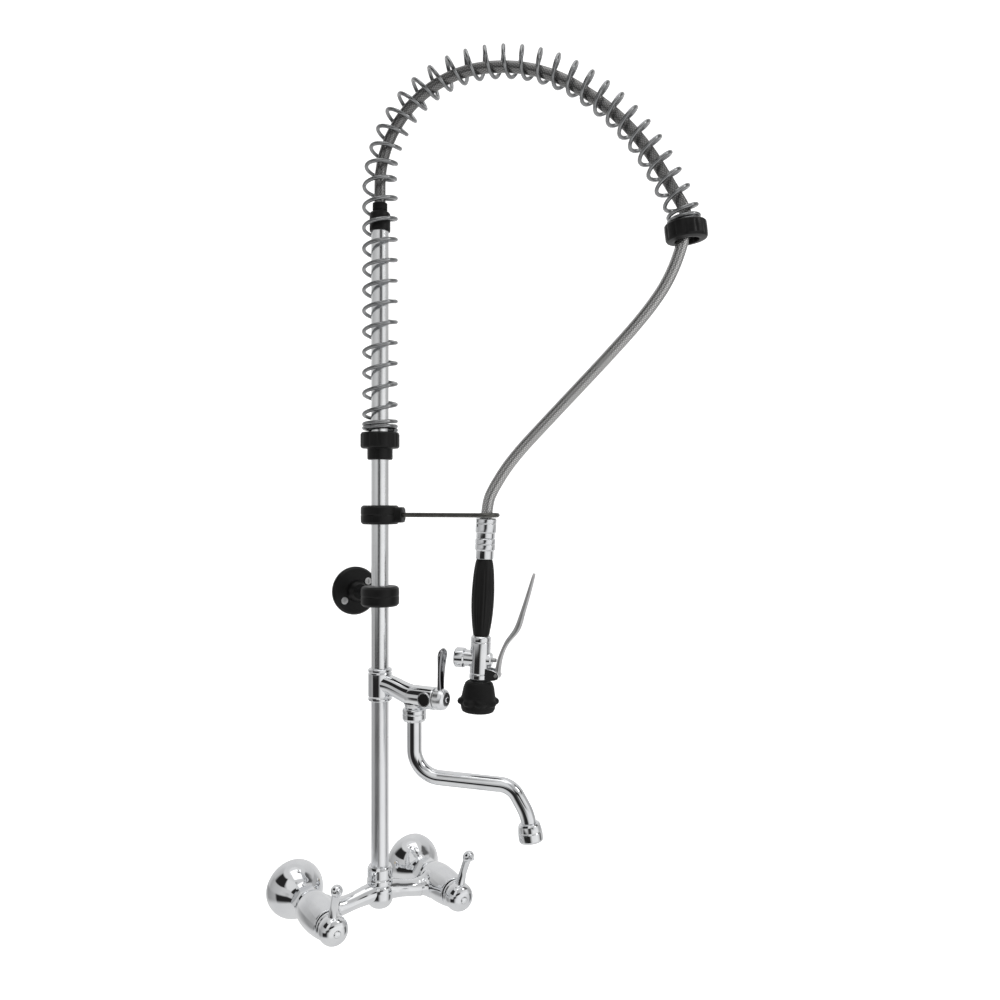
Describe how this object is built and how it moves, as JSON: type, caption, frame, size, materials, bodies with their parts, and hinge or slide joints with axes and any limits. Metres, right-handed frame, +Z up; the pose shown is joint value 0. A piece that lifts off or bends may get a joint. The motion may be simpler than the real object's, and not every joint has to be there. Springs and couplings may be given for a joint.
{
  "type": "pre rinse faucet",
  "caption": "Wall-mounted kitchen pre-rinse tap: lever mixer, riser, swivel spout with its own valve, and a spring-arched hose with a hooked trigger spray gun.",
  "frame": {"origin": "midway between the two wall inlet threads, in the plane of the wall", "axes": "+Z up along the riser, +Y into the wall, +X to the right of a person facing the wall"},
  "size_m": [0.3992, 0.395, 1.0565],
  "materials": {
    "chrome": "bright polished chrome plate on brass",
    "brass": "turned brass, hidden inside",
    "gasket_rubber": "soft black fibre and rubber gasket",
    "black_plastic": "black moulded plastic, semi-matt",
    "black_rubber": "matt black moulded rubber",
    "grey_plastic": "grey moulded plastic",
    "stainless": "stainless steel, satin",
    "spring_steel": "bright stainless spring wire",
    "hose_braid": "fine braided stainless steel over rubber hose"
  },
  "bodies": {
    "root": {"escutcheon_hot": "chrome", "escutcheon_cold": "chrome", "inlet_union_hot": "brass", "inlet_union_cold": "brass", "inlet_gaskets": "gasket_rubber", "union_nuts": "chrome", "valve_body_hot": "chrome", "valve_body_cold": "chrome", "headwork_hot": "brass", "headwork_cold": "brass", "mixer_yoke": "chrome", "column_gasket": "gasket_rubber", "column_nut": "chrome", "riser_lower": "chrome", "riser_upper": "chrome", "spout_valve_body": "chrome", "spout_index_plug": "black_plastic", "spout_headwork": "brass", "spout_nut": "chrome", "wall_clamp": "black_plastic", "wall_rod": "chrome", "wall_flange": "black_plastic", "wall_screws": "stainless", "pipe_top_union": "black_plastic"},
    "hot_lever": {"lever_hot": "chrome", "spindle_hot": "brass", "lever_screw_hot": "stainless"},
    "cold_lever": {"lever_cold": "chrome", "spindle_cold": "brass", "lever_screw_cold": "stainless"},
    "spout_lever": {"spout_lever": "chrome", "spout_spindle": "brass", "spout_lever_screw": "stainless"},
    "spout": {"spout_tube": "chrome", "aerator_collar": "chrome", "aerator_insert": "grey_plastic"},
    "spray_arm": {"spring_base_collar": "black_plastic", "arch_spring": "spring_steel", "spring_end_collar": "black_plastic", "hose_crimp": "stainless", "hose_upper": "hose_braid", "hose_lower": "hose_braid"},
    "hook": {"hook_ring": "black_plastic", "hook_arm": "stainless"},
    "gun": {"gun_body": "chrome", "hose_ferrule": "chrome", "gun_coupling": "chrome", "gun_grip": "black_plastic", "valve_cap": "chrome", "valve_spring": "stainless", "lever_pin": "stainless", "nozzle_plate": "grey_plastic", "bumper": "black_rubber"},
    "squeeze_lever": {"squeeze_lever": "stainless"},
    "valve_stem": {"valve_stem": "brass"}
  },
  "joints": [
    {"name": "hot_lever_turn", "type": "hinge", "parent": "root", "child": "hot_lever", "pos_m": [-0.081, -0.13, -0.01], "axis": [0, -1, 0], "range_deg": [0, 90]},
    {"name": "cold_lever_turn", "type": "hinge", "parent": "root", "child": "cold_lever", "pos_m": [0.081, -0.13, -0.01], "axis": [0, 1, 0], "range_deg": [0, 90]},
    {"name": "spout_lever_turn", "type": "hinge", "parent": "root", "child": "spout_lever", "pos_m": [0.04, -0.14928, 0.239], "axis": [0.5, -0.866, 0], "range_deg": [0, 90]},
    {"name": "spout_swivel", "type": "hinge", "parent": "root", "child": "spout", "pos_m": [0.025, -0.1233, 0.21], "axis": [0, 0, 1], "range_deg": [-135, 75]},
    {"name": "spray_swing", "type": "hinge", "parent": "root", "child": "spray_arm", "pos_m": [0, -0.08, 0.55], "axis": [0, 0, 1], "range_deg": [-135, 45]},
    {"name": "hook_swing", "type": "hinge", "parent": "root", "child": "hook", "pos_m": [0, -0.08, 0.455], "axis": [0, 0, 1], "range_deg": [-135, 45]},
    {"name": "gun_pull", "type": "slide", "parent": "spray_arm", "child": "gun", "axis": [-0.0321, 0.0321, -0.999], "range_m": [0, 0.05], "stiffness_N_per_m": 250, "springref_m": -0.06, "deforming": ["hose_lower"]},
    {"name": "lever_squeeze", "type": "hinge", "parent": "gun", "child": "squeeze_lever", "pos_m": [0.10363, -0.18363, 0.26622], "axis": [-0.7071, -0.7071, 0], "range_deg": [0, 16], "stiffness_Nm_per_rad": 0.6, "springref_deg": -14.32},
    {"name": "stem_push", "type": "slide", "parent": "gun", "child": "valve_stem", "axis": [-0.7064, 0.7064, 0.0454], "range_m": [0, 0.0049]}
  ],
  "couplings": [
    {"joint": "hook_swing", "follows": "spray_swing", "ratio": 1},
    {"joint": "stem_push", "follows": "lever_squeeze", "m_per_rad": 0.017}
  ]
}
